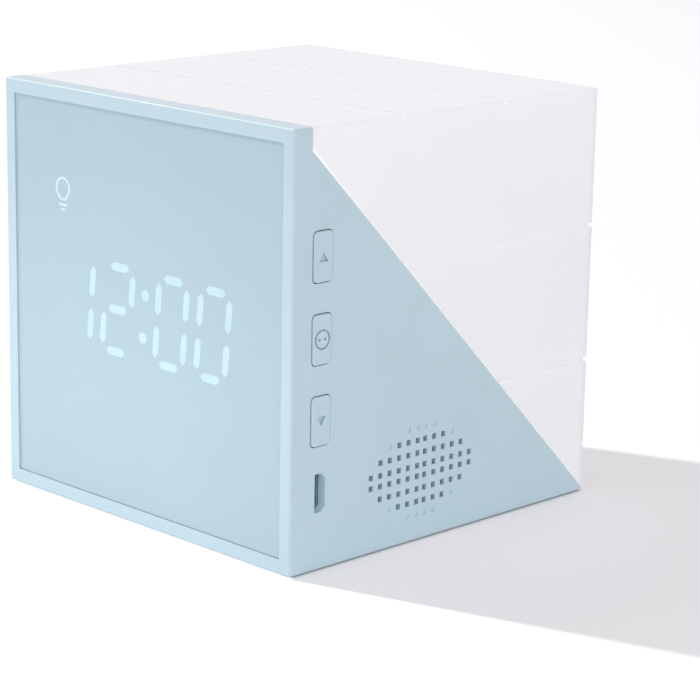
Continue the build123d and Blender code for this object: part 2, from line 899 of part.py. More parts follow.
with BuildPart() as socket_tongue:
    with BuildSketch(side_plane(wall + socket_gap + socket_reach)):
        with Locations((socket_depth, socket_height)):
            Polygon(*socket_inside)
    extrude(amount=tongue_block)
    with BuildSketch(side_plane(wall + socket_gap + socket_reach)):
        with Locations((socket_depth, socket_height)):
            Rectangle(tongue_thickness, socket_length / 2)
    extrude(amount=tongue_length)
socket_tongue.part.label = "socket_tongue"
export_step(socket_tongue.part, "parts/socket_tongue.step")

# Speaker, from the wall inwards
with BuildPart() as speaker_gasket:
    with BuildSketch(side_plane(wall)):
        with Locations((speaker_depth, speaker_height)):
            SlotOverall(speaker_length, speaker_width)
            SlotOverall(
                speaker_length - 2 * gasket_width,
                speaker_width - 2 * gasket_width,
                mode=Mode.SUBTRACT,
            )
    extrude(amount=-gasket_thickness)
speaker_gasket.part.label = "speaker_gasket"
export_step(speaker_gasket.part, "parts/speaker_gasket.step")

with BuildPart() as speaker_frame:
    speaker_front = side_plane(wall + gasket_thickness)
    with BuildSketch(speaker_front):
        with Locations((speaker_depth, speaker_height)):
            SlotOverall(speaker_length, speaker_width)
    extrude(amount=-speaker_frame_depth - speaker_back)
    with BuildSketch(speaker_front):
        with Locations((speaker_depth, speaker_height)):
            SlotOverall(speaker_length - 2 * speaker_rim, speaker_width - 2 * speaker_rim)
    extrude(amount=-speaker_frame_depth, mode=Mode.SUBTRACT)
    with BuildSketch(speaker_front):
        with Locations((speaker_depth, speaker_height)):
            SlotOverall(cone_length + 2 * holder_gap, cone_width + 2 * holder_gap)
    extrude(amount=-cone_thickness, mode=Mode.SUBTRACT)
speaker_frame.part.label = "speaker_frame"
export_step(speaker_frame.part, "parts/speaker_frame.step")

with BuildPart() as speaker_cone:
    with BuildSketch(side_plane(wall + gasket_thickness)):
        with Locations((speaker_depth, speaker_height)):
            SlotOverall(cone_length, cone_width)
    extrude(amount=-cone_thickness)
    with BuildSketch(side_plane(wall + gasket_thickness + cone_thickness)):
        with Locations((speaker_depth, speaker_height)):
            Circle(cone_dome / 2)
    extrude(amount=-cone_dome_rise)
    fillet(speaker_cone.faces().sort_by(Axis.X)[0].edges(), radius=cone_dome_rise / 2)
speaker_cone.part.label = "speaker_cone"
export_step(speaker_cone.part, "parts/speaker_cone.step")

with BuildPart() as speaker_magnet:
    with BuildSketch(side_plane(speaker_back_inset)):
        with Locations((speaker_depth, speaker_height)):
            Circle(magnet_diameter / 2)
    extrude(amount=-magnet_depth)
speaker_magnet.part.label = "speaker_magnet"
export_step(speaker_magnet.part, "parts/speaker_magnet.step")

# Cell
with BuildPart() as battery_cell:
    with BuildSketch(Plane.YZ.offset(cell_left)):
        with Locations((deep(cell_depth), high(cell_height))):
            Circle(cell_diameter / 2)
    extrude(amount=cell_length)
    fillet(battery_cell.edges().filter_by(GeomType.CIRCLE), radius=cell_round)
battery_cell.part.label = "battery_cell"
export_step(battery_cell.part, "parts/battery_cell.step")

# Small parts on the back of the main board
with BuildPart() as control_chip:
    with BuildSketch(front_plane(board_rear)):
        with Locations((chip_across, chip_height)):
            Rectangle(chip_size, chip_size)
    extrude(amount=-chip_thickness)
    with BuildSketch(front_plane(board_rear)):
        with Locations((chip_across, chip_height)):
            with GridLocations(0, chip_leg_pitch, 1, chip_leg_count):
                Rectangle(chip_size + 2 * chip_leg_reach, chip_leg)
            with GridLocations(chip_leg_pitch, 0, chip_leg_count, 1):
                Rectangle(chip_leg, chip_size + 2 * chip_leg_reach)
    extrude(amount=-chip_leg_thickness)
control_chip.part.label = "control_chip"
export_step(control_chip.part, "parts/control_chip.step")

with BuildPart() as crystal:
    with BuildSketch(front_plane(board_rear)):
        with Locations((chip_across, crystal_height)):
            SlotOverall(crystal_length, crystal_width)
    extrude(amount=-crystal_thickness)
crystal.part.label = "crystal"
export_step(crystal.part, "parts/crystal.step")

with BuildPart() as battery_header:
    with BuildSketch(front_plane(board_rear)):
        with Locations((header_across, cell_height)):
            Rectangle(header_width, header_length)
    extrude(amount=-header_depth)
    with BuildSketch(front_plane(board_rear + header_floor)):
        with Locations((header_across, cell_height)):
            Rectangle(header_width - 2 * header_wall, header_length - 2 * header_wall)
    extrude(amount=header_floor - header_depth, mode=Mode.SUBTRACT)
battery_header.part.label = "battery_header"
export_step(battery_header.part, "parts/battery_header.step")

plug_rear = board_rear + header_depth + plug_proud
with BuildPart() as battery_plug:
    with BuildSketch(front_plane(board_rear + header_floor)):
        with Locations((header_across, cell_height)):
            Rectangle(
                header_width - 2 * header_wall - 2 * plug_gap,
                header_length - 2 * header_wall - 2 * plug_gap,
            )
    extrude(amount=board_rear + header_floor - plug_rear)
battery_plug.part.label = "battery_plug"
export_step(battery_plug.part, "parts/battery_plug.step")

# Leads, two wires each
with BuildPart() as battery_leads:
    for side in (-1, 1):
        lead_height = high(cell_height + side * lead_pitch / 2)
        lead_across = cell_left - battery_lead_side
        battery_route = [
            (header_across, deep(plug_rear), lead_height),
            (header_across, deep(plug_rear + battery_lead_start), lead_height),
            (lead_across, deep(plug_rear + battery_lead_start + battery_lead_slant), lead_height),
            (lead_across, deep(cell_depth), lead_height),
            (cell_left, deep(cell_depth), lead_height),
        ]
        with BuildLine() as battery_line:
            FilletPolyline(*battery_route, radius=bend_radii(battery_route))
        with BuildSketch(battery_line.line ^ 0):
            Circle(lead_diameter / 2)
        sweep(path=battery_line.line)
battery_leads.part.label = "battery_leads"
export_step(battery_leads.part, "parts/battery_leads.step")

with BuildPart() as speaker_leads:
    for side in (-1, 1):
        lead_height = high(speaker_height + side * lead_pitch / 2)
        lead_across = case_width / 2 - speaker_back_inset
        lead_end = board_half - speaker_lead_board_inset
        lead_depth = speaker_depth - speaker_length / 2 + speaker_lead_inset
        speaker_route = [
            (lead_across, deep(lead_depth), lead_height),
            (lead_across - speaker_lead_start, deep(lead_depth), lead_height),
            (lead_end, deep(board_rear + speaker_lead_end), lead_height),
            (lead_end, deep(board_rear), lead_height),
        ]
        with BuildLine() as speaker_line:
            FilletPolyline(*speaker_route, radius=bend_radii(speaker_route))
        with BuildSketch(speaker_line.line ^ 0):
            Circle(lead_diameter / 2)
        sweep(path=speaker_line.line)
speaker_leads.part.label = "speaker_leads"
export_step(speaker_leads.part, "parts/speaker_leads.step")

with BuildPart() as lamp_leads:
    for side in (-1, 1):
        lead_side = side * lead_pitch / 2
        lead_top = seam.from_local_coords((lead_side, lamp_lead_place, -plate_drop))
        lead_bend = seam.from_local_coords((lead_side, lamp_lead_place, -plate_drop - lamp_lead_drop))
        lamp_route = [
            tuple(lead_top),
            tuple(lead_bend),
            (lead_bend.X, deep(board_rear), lead_bend.Z),
        ]
        with BuildLine() as lamp_line:
            FilletPolyline(*lamp_route, radius=bend_radii(lamp_route))
        with BuildSketch(lamp_line.line ^ 0):
            Circle(lead_diameter / 2)
        sweep(path=lamp_line.line)
lamp_leads.part.label = "lamp_leads"
export_step(lamp_leads.part, "parts/lamp_leads.step")

# Reflecting plate, lamp board and lamps, under the diffuser
with BuildPart() as reflector_plate:
    with BuildSketch(seam.offset(-plate_drop)):
        with Locations((0, plate_middle)):
            Rectangle(inner_width - 2 * plate_gap, plate_end - plate_start)
    extrude(amount=-plate_thickness)
    with BuildSketch(seam.offset(-plate_under)):
        with Locations(*lamp_screw_places):
            Circle(lamp_boss / 2)
    extrude(amount=plate_thickness - lamp_boss_depth)
    with BuildSketch(seam.offset(-plate_drop)):
        with Locations(*plate_screw_places, *lamp_screw_places):
            Circle(pilot_diameter / 2)
        with Locations((0, lamp_lead_place)):
            Rectangle(lead_pitch + lead_diameter + 2 * lead_hole_gap, lead_diameter + 2 * lead_hole_gap)
    extrude(amount=-lamp_boss_depth, mode=Mode.SUBTRACT)
reflector_plate.part.label = "reflector_plate"
export_step(reflector_plate.part, "parts/reflector_plate.step")

with BuildPart() as plate_screws:
    add_screws(seam.offset(-plate_drop), plate_screw_places, screw_length)
plate_screws.part.label = "plate_screws"
export_step(plate_screws.part, "parts/plate_screws.step")

with BuildPart() as lamp_board:
    with BuildSketch(seam.offset(-plate_drop)):
        with Locations((0, plate_middle)):
            Rectangle(lamp_board_width, lamp_board_length)
        with Locations(*lamp_screw_places):
            Circle(screw_shank / 2 + board_hole_gap, mode=Mode.SUBTRACT)
    extrude(amount=lamp_board_thickness)
lamp_board.part.label = "lamp_board"
export_step(lamp_board.part, "parts/lamp_board.step")

lamp_seat = seam.offset(lamp_board_thickness - plate_drop)
with BuildPart() as lamps:
    with BuildSketch(lamp_seat):
        with Locations((0, plate_middle)):
            with GridLocations(lamp_size + lamp_side_gap, lamp_size + lamp_end_gap, lamp_columns, lamp_rows):
                Rectangle(lamp_size, lamp_size)
    extrude(amount=lamp_thickness)
lamps.part.label = "lamps"
export_step(lamps.part, "parts/lamps.step")

with BuildPart() as lamp_screws:
    add_screws(lamp_seat, lamp_screw_places, lamp_board_thickness + lamp_boss_depth)
lamp_screws.part.label = "lamp_screws"
export_step(lamp_screws.part, "parts/lamp_screws.step")

# Screws that hold the diffuser down from below, and the feet
with BuildPart() as base_screws:
    base_seat = Plane((0, 0, high(head_recess)), x_dir=(1, 0, 0), z_dir=(0, 0, -1))
    add_screws(base_seat, [(across, -place) for across, place in boss_places], screw_length)
base_screws.part.label = "base_screws"
export_step(base_screws.part, "parts/base_screws.step")

with BuildPart() as rubber_feet:
    with BuildSketch(Plane.XY):
        with Locations(*foot_places):
            Circle(foot_diameter / 2)
    extrude(amount=foot_proud + foot_recess)
    fillet(rubber_feet.faces().filter_by(Plane.XY).group_by(Axis.Z)[0].edges(), radius=foot_round)
rubber_feet.part.label = "rubber_feet"
export_step(rubber_feet.part, "parts/rubber_feet.step")
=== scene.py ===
# %% [markdown]
# # A cube alarm clock with a night light
# The clock is a cube that is cut along one diagonal: a pale blue half with the display, keys and speaker, and
# a milky white half that glows at night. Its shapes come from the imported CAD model. This lesson sets up the
# camera, the floor and the light, gives every surface its finish, and adds the charging socket's contacts.

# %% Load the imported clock
import json
from math import radians, sqrt

import bpy
from mathutils import Matrix, Vector


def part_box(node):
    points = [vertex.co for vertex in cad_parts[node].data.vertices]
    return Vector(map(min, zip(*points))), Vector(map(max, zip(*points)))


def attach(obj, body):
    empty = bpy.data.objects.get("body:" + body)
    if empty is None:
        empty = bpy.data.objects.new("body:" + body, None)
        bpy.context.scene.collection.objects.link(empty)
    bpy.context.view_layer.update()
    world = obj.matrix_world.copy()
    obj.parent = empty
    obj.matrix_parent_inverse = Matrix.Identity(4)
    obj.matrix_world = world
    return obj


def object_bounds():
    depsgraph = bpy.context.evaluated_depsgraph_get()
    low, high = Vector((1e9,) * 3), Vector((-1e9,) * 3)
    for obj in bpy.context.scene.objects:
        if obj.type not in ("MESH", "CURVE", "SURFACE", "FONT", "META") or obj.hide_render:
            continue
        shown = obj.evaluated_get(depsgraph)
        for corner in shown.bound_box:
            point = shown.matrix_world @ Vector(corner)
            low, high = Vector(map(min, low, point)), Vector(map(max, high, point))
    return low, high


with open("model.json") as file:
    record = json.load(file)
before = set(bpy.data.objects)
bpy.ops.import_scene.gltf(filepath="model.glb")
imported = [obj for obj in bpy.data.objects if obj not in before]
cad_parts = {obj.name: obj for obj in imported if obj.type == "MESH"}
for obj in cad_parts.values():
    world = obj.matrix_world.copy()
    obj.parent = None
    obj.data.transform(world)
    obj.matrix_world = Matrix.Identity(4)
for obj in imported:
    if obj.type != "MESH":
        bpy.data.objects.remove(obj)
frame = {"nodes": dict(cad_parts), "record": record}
cad_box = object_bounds()
bpy.ops.object.select_all(action="DESELECT")

half = -cad_box[0].x
top = cad_box[1].z
print("nodes:", len(frame["nodes"]), "half width:", round(half, 4), "top:", round(top, 4))

# %% [markdown]
# ## Camera
# The photo was taken from the front right and a little above, with a long lens, so that the cube's edges stay
# nearly parallel. The camera could be aimed at a target, but then it couldn't roll. So the turn is built as a
# photographer would make it: aim level along +Y, tip down, swing round the clock, and roll slightly, as a
# hand-held camera does.

# %% Set up the camera
swing = radians(44.89)
tip = radians(14.12)
roll = radians(1.07)
camera_place = Vector((0.3927, -0.3782, 0.1684))

camera_data = bpy.data.cameras.new("photo_camera")
camera_data.sensor_width = 36.0
camera_data.lens = 131.56
camera = bpy.data.objects.new("photo_camera", camera_data)
bpy.context.scene.collection.objects.link(camera)
aimed = Matrix.Rotation(swing, 4, "Z") @ Matrix.Rotation(radians(90) - tip, 4, "X")
camera.matrix_world = Matrix.Translation(camera_place) @ aimed @ Matrix.Rotation(roll, 4, "Z")
bpy.context.scene.camera = camera
print("camera:", round(camera_place.length, 3), "m from the origin, lens", round(camera_data.lens, 1), "mm")

# %% [markdown]
# ## Floor
# A white sweep makes a product stand free. It could be a curved sheet, but the camera looks down and sees no
# horizon, so a broad plane without gloss is enough to keep the shadow. It isn't a part of the clock. Its
# colour comes later, together with the light close to the clock.

# %% Lay the floor
bpy.context.scene.view_settings.view_transform = "Standard"

bpy.ops.mesh.primitive_plane_add(size=6.0, location=(0, 0, 0))
floor = bpy.context.object
floor.name = "floor"
floor_paint = bpy.data.materials.new("white_floor")
floor_paint.use_nodes = True
floor_shader = floor_paint.node_tree.nodes["Principled BSDF"]
floor_shader.inputs["Roughness"].default_value = 1.0
floor_shader.inputs["Specular IOR Level"].default_value = 0.0
floor.data.materials.append(floor_paint)
print("floor:", [round(v, 2) for v in floor.dimensions])

# %% [markdown]
# ## Room
# The world is an even white room. Rays from the camera, and those that gloss and glass send out, see it at
# full white, while the light that it gives is lower, so that white plastic doesn't clip. A small helper does
# one step of arithmetic between sockets. It serves all the masks of this lesson.


# %% Build the room
def reckon(tree, operation, *values):
    """Do one step of arithmetic on sockets or numbers."""
    step = tree.nodes.new("ShaderNodeMath")
    step.operation = operation
    for socket, value in zip(step.inputs, values):
        if isinstance(value, float):
            socket.default_value = value
        else:
            tree.links.new(value, socket)
    return step.outputs[0]


world = bpy.data.worlds.new("white_room")
world.use_nodes = True
bpy.context.scene.world = world
room = world.node_tree
room.nodes.clear()

room_light = room.nodes.new("ShaderNodeBackground")
room_light.inputs["Color"].default_value = (0.985, 0.985, 1.0, 1)
room_light.inputs["Strength"].default_value = 0.65
room_seen = room.nodes.new("ShaderNodeBackground")
room_seen.inputs["Color"].default_value = (1, 1, 1, 1)

rays = room.nodes.new("ShaderNodeLightPath").outputs
gloss_or_glass = reckon(room, "MAXIMUM", rays["Is Glossy Ray"], rays["Is Transmission Ray"])
room_mix = room.nodes.new("ShaderNodeMixShader")
room.links.new(reckon(room, "MAXIMUM", rays["Is Camera Ray"], gloss_or_glass), room_mix.inputs["Fac"])
room.links.new(room_light.outputs[0], room_mix.inputs[1])
room.links.new(room_seen.outputs[0], room_mix.inputs[2])
room_out = room.nodes.new("ShaderNodeOutputWorld")
room.links.new(room_mix.outputs[0], room_out.inputs["Surface"])
print("room light:", round(room_light.inputs["Strength"].default_value, 2), "nodes:", len(room.nodes))

# %% [markdown]
# ## Lamps
# One small lamp from the left draws the sharp shadow to the right. A sun would do that too, but its shadow
# wouldn't spread. A broad lamp beside the camera lifts the right-hand side. Two cards on the floor, as a
# photographer lays them, throw light up at the lower part of the front and of the side. The cards are lamps
# that neither the camera nor gloss can see.


# %% Place the two lamps
def add_lamp(name, kind, watts, place, target):
    """Add a lamp at a place, aimed at a target."""
    data = bpy.data.lights.new(name, kind)
    data.energy = watts
    lamp = bpy.data.objects.new(name, data)
    bpy.context.scene.collection.objects.link(lamp)
    aim = (Vector(target) - Vector(place)).to_track_quat("-Z", "Y")
    lamp.matrix_world = Matrix.Translation(place) @ aim.to_matrix().to_4x4()
    return lamp


key_lamp = add_lamp("key_lamp", "POINT", watts=98.0, place=(-1.593, -0.573, 1.42), target=(0, 0, 0))
key_lamp.data.shadow_soft_size = 0.03
fill_lamp = add_lamp("fill_lamp", "AREA", watts=1.65, place=(0.75, -0.30, 0.40), target=(0, 0, half))
fill_lamp.data.size = 0.6
print("lamps:", {lamp.name: round(lamp.data.energy, 2) for lamp in (key_lamp, fill_lamp)})


# %% Lay the two cards
def add_card(name, watts, place, facing, width, length):
    """Add a card that throws light the way it faces, and isn't seen itself."""
    card = add_lamp(name, "AREA", watts, place, Vector(place) + Vector(facing))
    card.data.shape = "RECTANGLE"
    card.data.size = width
    card.data.size_y = length
    card.visible_camera = False
    card.visible_glossy = False
    return card


front_card = add_card(
    "front_card", watts=0.027, place=(-0.015, -0.1096, 0.0116), facing=(0.005, 0.05, 0.057),
    width=0.14, length=0.0345,
)
side_card = add_card(
    "side_card", watts=0.009, place=(0.0855, 0.02, 0.0003), facing=(0, 0, 1), width=0.08, length=0.14
)
print("cards:", {card.name: round(card.data.energy, 3) for card in (front_card, side_card)})

# %% [markdown]
# ## Shared effects
# Moulded plastic is never one flat colour. The steel mould leaves a fine, even grain, and the melt leaves
# cloudy differences in tone that one only notices when they are missing. Metal parts carry the lines of
# rolling or plating instead. Both effects are node groups, so that each finish sets its own scale. They put
# out masks and heights only, and the shader stays in the material.


# %% Moulded grain: a cloudy tone, and the mould's fine texture
def start_group(name, inputs, outputs):
    """Start a shader node group with number sockets, and return its tree and end nodes."""
    tree = bpy.data.node_groups.new(name, "ShaderNodeTree")
    for label, value in inputs.items():
        socket = tree.interface.new_socket(label, in_out="INPUT", socket_type="NodeSocketFloat")
        socket.default_value = value
    for label in outputs:
        tree.interface.new_socket(label, in_out="OUTPUT", socket_type="NodeSocketFloat")
    return tree, tree.nodes.new("NodeGroupInput"), tree.nodes.new("NodeGroupOutput")


def add_noise(tree, vector, detail):
    """Add a noise texture on a vector."""
    noise = tree.nodes.new("ShaderNodeTexNoise")
    noise.inputs["Detail"].default_value = detail
    tree.links.new(vector, noise.inputs["Vector"])
    return noise


moulded_grain, ends_in, ends_out = start_group(
    "moulded_grain", {"Grain Scale": 5000.0, "Cloud Scale": 60.0}, ["Cloud", "Grain"]
)
place = moulded_grain.nodes.new("ShaderNodeTexCoord").outputs["Object"]
for label, detail in (("Cloud", 3.0), ("Grain", 2.0)):
    noise = add_noise(moulded_grain, place, detail)
    moulded_grain.links.new(ends_in.outputs[f"{label} Scale"], noise.inputs["Scale"])
    moulded_grain.links.new(noise.outputs["Fac"], ends_out.inputs[label])
print("group:", moulded_grain.name, "with", len(moulded_grain.nodes), "nodes")

# %% Drawn lines: noise that is stretched along one axis, as on rolled or plated metal
drawn_lines, ends_in, ends_out = start_group(
    "drawn_lines", {"Along X": 300.0, "Along Y": 6000.0, "Along Z": 6000.0}, ["Lines"]
)
place = drawn_lines.nodes.new("ShaderNodeTexCoord").outputs["Object"]
stretch = drawn_lines.nodes.new("ShaderNodeCombineXYZ")
for axis in "XYZ":
    drawn_lines.links.new(ends_in.outputs[f"Along {axis}"], stretch.inputs[axis])
stretched = drawn_lines.nodes.new("ShaderNodeVectorMath")
stretched.operation = "MULTIPLY"
drawn_lines.links.new(place, stretched.inputs[0])
drawn_lines.links.new(stretch.outputs["Vector"], stretched.inputs[1])
noise = add_noise(drawn_lines, stretched.outputs["Vector"], detail=2.0)
noise.inputs["Scale"].default_value = 1.0
drawn_lines.links.new(noise.outputs["Fac"], ends_out.inputs["Lines"])
print("group:", drawn_lines.name, "with", len(drawn_lines.nodes), "nodes")

# %% [markdown]
# ## A recipe for finishes
# Most pieces of the clock are moulded. Building each finish by hand would repeat the same nodes, so one
# recipe serves them: two close colours mixed by the cloud, a roughness that wanders with it, and a bump from
# the grain. Metal takes the drawn lines instead. A finish that has something of its own is built on top of
# the recipe. Colours are written as the values from 0 to 255 that a screen shows, and turned into amounts of
# light.


# %% Write colours as a screen shows them
def paint(red, green, blue):
    """Linear colour from the 0 to 255 values that a screen shows."""
    shares = [value / 255 for value in (red, green, blue)]
    linear = [v / 12.92 if v <= 0.04045 else ((v + 0.055) / 1.055) ** 2.4 for v in shares]
    return (*linear, 1.0)


case_blue = paint(180, 202, 212), paint(183, 205, 215)
print("case blue as light:", [round(v, 3) for v in case_blue[0]])


# %% Start a finish and place an effect in it
def open_finish(material):
    """Return a material's tree and shader."""
    return material.node_tree, material.node_tree.nodes["Principled BSDF"]


def start_finish(name):
    """Make an empty material and return it with its tree and shader."""
    material = bpy.data.materials.new(name)
    material.use_nodes = True
    return material, *open_finish(material)


def place_group(tree, group, **values):
    """Place a node group in a material with its own values, and return what it puts out."""
    node = tree.nodes.new("ShaderNodeGroup")
    node.node_tree = group
    for label, value in values.items():
        node.inputs[label.replace("_", " ")].default_value = value
    return node.outputs


print("effects to place:", [group.name for group in bpy.data.node_groups])

# %% Mix colours by a mask
# Numbers of the mix node's two colour inputs and of its colour output.
mix_first, mix_second, mix_result = 6, 7, 2
# Most of a noise lies between these two values.
noise_low, noise_high = 0.3, 0.7


def mix_colours(tree, mask, first, second):
    """Mix a colour, or what a socket gives, with a second colour by a mask."""
    mix = tree.nodes.new("ShaderNodeMix")
    mix.data_type = "RGBA"
    tree.links.new(mask, mix.inputs["Factor"])
    if isinstance(first, tuple):
        mix.inputs[mix_first].default_value = first
    else:
        tree.links.new(first, mix.inputs[mix_first])
    mix.inputs[mix_second].default_value = second
    return mix.outputs[mix_result]


def spread(tree, noise, low=0.0, high=1.0):
    """Spread the middle of a noise over a range."""
    ramp = tree.nodes.new("ShaderNodeMapRange")
    ramp.inputs["From Min"].default_value = noise_low
    ramp.inputs["From Max"].default_value = noise_high
    ramp.inputs["To Min"].default_value = low
    ramp.inputs["To Max"].default_value = high
    tree.links.new(noise, ramp.inputs["Value"])
    return ramp.outputs["Result"]


def colour_by(tree, shader, noise, dark, light):
    """Let the base colour wander between two colours with a noise."""
    tree.links.new(mix_colours(tree, spread(tree, noise), dark, light), shader.inputs["Base Color"])


print("noise is spread from", noise_low, "to", noise_high)

# %% The recipe for moulded pieces, and the plain plastics
plastic_wander = 0.05


def raise_bump(tree, shader, height, depth, strength):
    """Feed a height to the shader's normal."""
    bump = tree.nodes.new("ShaderNodeBump")
    bump.inputs["Distance"].default_value = depth
    bump.inputs["Strength"].default_value = strength
    tree.links.new(height, bump.inputs["Height"])
    tree.links.new(bump.outputs["Normal"], shader.inputs["Normal"])


def moulded(
    name, dark, light, roughness, grain_scale=5000.0, cloud_scale=60.0, depth=0.00002, strength=0.3
):
    """Moulded plastic or rubber: cloudy tone, wandering roughness, fine grain."""
    material, tree, shader = start_finish(name)
    skin = place_group(tree, moulded_grain, Grain_Scale=grain_scale, Cloud_Scale=cloud_scale)
    colour_by(tree, shader, skin["Cloud"], dark, light)
    sheen = spread(tree, skin["Cloud"], roughness - plastic_wander, roughness + plastic_wander)
    tree.links.new(sheen, shader.inputs["Roughness"])
    raise_bump(tree, shader, skin["Grain"], depth, strength)
    return material


plain_plastics = {
    "pale_blue_case": (*case_blue, 0.42),
    "pale_blue_key": (*case_blue, 0.42),
    "white_reflector": (paint(240, 240, 238), paint(247, 247, 246), 0.5),
    "black_plastic": (paint(30, 31, 33), paint(38, 39, 41), 0.5),
    # The tongue's light blue is painted light from the blue slot around it.
    "socket_tongue": (paint(140, 178, 190), paint(152, 190, 202), 0.5),
    "white_connector": (paint(226, 222, 208), paint(233, 230, 218), 0.45),
    "lead_red": (paint(176, 30, 26), paint(190, 38, 32), 0.45),
    "lead_black": (paint(24, 24, 25), paint(34, 34, 35), 0.45),
    "lead_white": (paint(222, 221, 216), paint(232, 231, 227), 0.45),
}
finishes = {}
for name, (dark, light, roughness) in plain_plastics.items():
    finishes[name] = moulded(name, dark, light, roughness)
print("plain plastics:", list(finishes))

# %% [markdown]
# ## Panel, paper, foam and rubber
# The panel in the frame is the case's blue with a flatter sheen. The speaker's paper cone, the foam ring in
# front of it and the rubber feet are far rougher than plastic. They could have patterns of their own, but
# they are small and half hidden, so the recipe serves them with a coarser grain and a deeper bump.

# %% Finishes with a skin of their own
finishes["pale_blue_panel"] = moulded(
    "pale_blue_panel", paint(167, 190, 199), paint(169, 192, 201), roughness=0.6, strength=0.2
)
finishes["cone_paper"] = moulded(
    "cone_paper", paint(22, 28, 31), paint(32, 39, 42), roughness=0.85,
    grain_scale=2500.0, cloud_scale=200.0, depth=0.00006, strength=0.6,
)
finishes["grey_foam"] = moulded(
    "grey_foam", paint(34, 41, 45), paint(48, 55, 59), roughness=0.95,
    grain_scale=1500.0, cloud_scale=300.0, depth=0.0001, strength=0.8,
)
finishes["foot_rubber"] = moulded(
    "foot_rubber", paint(150, 160, 166), paint(166, 176, 181), roughness=0.85,
    grain_scale=3000.0, cloud_scale=120.0, depth=0.00004, strength=0.5,
)
print("finishes so far:", len(finishes))

# %% [markdown]
# ## Metals
# Plain metal would look too clean. Screws and cans are zinc-plated or rolled, and the magnet's cup is turned,
# so its lines run the other way. The socket's steel shell stands in a blue slot and mirrors it, so its steel
# is painted bluer, a painted reflection of the slot. The contacts are gilt.

# %% The recipe for drawn metal
metal_wander = 0.08


def drawn_metal(name, dark, light, roughness, along=(300.0, 6000.0, 6000.0)):
    """Plated or rolled metal with fine lines."""
    material, tree, shader = start_finish(name)
    shader.inputs["Metallic"].default_value = 1.0
    effect = place_group(tree, drawn_lines, Along_X=along[0], Along_Y=along[1], Along_Z=along[2])
    lines = effect["Lines"]
    colour_by(tree, shader, lines, dark, light)
    sheen = spread(tree, lines, roughness - metal_wander, roughness + metal_wander)
    tree.links.new(sheen, shader.inputs["Roughness"])
    raise_bump(tree, shader, lines, depth=0.00001, strength=0.2)
    return material


plain_metals = {
    "screw_steel": (paint(150, 150, 154), paint(182, 182, 186), 0.38),
    "bright_steel": (paint(190, 190, 194), paint(214, 214, 217), 0.37),
    # The socket's steel is painted bluer: a painted reflection of the blue slot.
    "socket_steel_reflection": (paint(184, 200, 208), paint(206, 224, 232), 0.37),
    "gilt_contact": (paint(196, 160, 84), paint(224, 190, 112), 0.37),
}
for name, (dark, light, roughness) in plain_metals.items():
    finishes[name] = drawn_metal(name, dark, light, roughness)
finishes["magnet"] = drawn_metal(
    "magnet", paint(160, 160, 163), paint(186, 186, 189), roughness=0.38, along=(6000.0, 400.0, 400.0)
)
print("metals:", [*plain_metals, "magnet"])

# %% [markdown]
# ## Case
# The top of the frame lies against the milky half and takes some of its light, so it looks paler than the
# front, and so do the smooth walls of the charging slot. They could be pieces with finishes of their own, but
# they belong to one moulding, so that paler colour is painted light, placed by masks by position: the frame's
# top by its height, and the slot's walls because they lie round the socket and behind the outer face of the
# right-hand wall.


# %% Painted light on the top of the frame
def read_place(tree):
    """Read the position on the object and return its three axes."""
    axes = tree.nodes.new("ShaderNodeSeparateXYZ")
    tree.links.new(tree.nodes.new("ShaderNodeTexCoord").outputs["Object"], axes.inputs["Vector"])
    return axes.outputs["X"], axes.outputs["Y"], axes.outputs["Z"]


def lay_over(tree, shader, mask, colour):
    """Lay a colour over the base colour where a mask says so."""
    base = shader.inputs["Base Color"]
    tree.links.new(mix_colours(tree, mask, base.links[0].from_socket, colour), base)


# The frame's top is painted paler: painted light.
top_skin = 0.0002
tree, shader = open_finish(finishes["pale_blue_case"])
across, along, rise = read_place(tree)
lay_over(tree, shader, reckon(tree, "GREATER_THAN", rise, top - top_skin), paint(193, 209, 217))
print("frame paler above", round(top - top_skin, 4))


# %% Painted light on the walls of the slot
def overlap(tree, *masks):
    """Mask of the places where all masks hold, or their product where they are shares."""
    shared = masks[0]
    for mask in masks[1:]:
        shared = reckon(tree, "MULTIPLY", shared, mask)
    return shared


def within(tree, value, middle, reach):
    """Mask of the places where a value is closer to a middle than a reach."""
    offset = reckon(tree, "ABSOLUTE", reckon(tree, "SUBTRACT", value, middle))
    return reckon(tree, "LESS_THAN", offset, reach)


# The slot's walls are painted paler: painted light in the slot.
slot_half_width = 0.0016
slot_half_height = 0.0042
outer_skin = 0.00003
socket_low, socket_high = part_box("socket_shell")
slot_middle = (socket_low + socket_high) / 2
painted_slot_light = overlap(
    tree,
    within(tree, along, slot_middle.y, slot_half_width),
    within(tree, rise, slot_middle.z, slot_half_height),
    reckon(tree, "LESS_THAN", across, half - outer_skin),
    reckon(tree, "GREATER_THAN", across, socket_low.x),
)
lay_over(tree, shader, painted_slot_light, paint(202, 228, 236))
print("slot paler from x", round(socket_low.x, 4), "to", round(half - outer_skin, 5))

# %% [markdown]
# ## Marks of the keys
# The arrow and ring marks are sunk into the keys, and their floors are painted a little darker than the face
# around them: painted shade in the sunk marks. The keys are moulded like the case, and a mask finds the
# marks:
# they lie behind the plane of the key's face and away from its sides.

# %% Painted shade in the marks
# The marks' floors are painted darker: painted shade in the sunk marks.
mark_half_width = 0.0023
mark_depth = 0.0003
key_low, key_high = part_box("set_key")
tree, shader = open_finish(finishes["pale_blue_key"])
across, along, _ = read_place(tree)
mark_shade = overlap(
    tree,
    reckon(tree, "LESS_THAN", across, key_high.x - mark_depth),
    within(tree, along, (key_low.y + key_high.y) / 2, mark_half_width),
)
lay_over(tree, shader, mark_shade, paint(170, 192, 202))
print("marks darker behind x", round(key_high.x - mark_depth, 4))
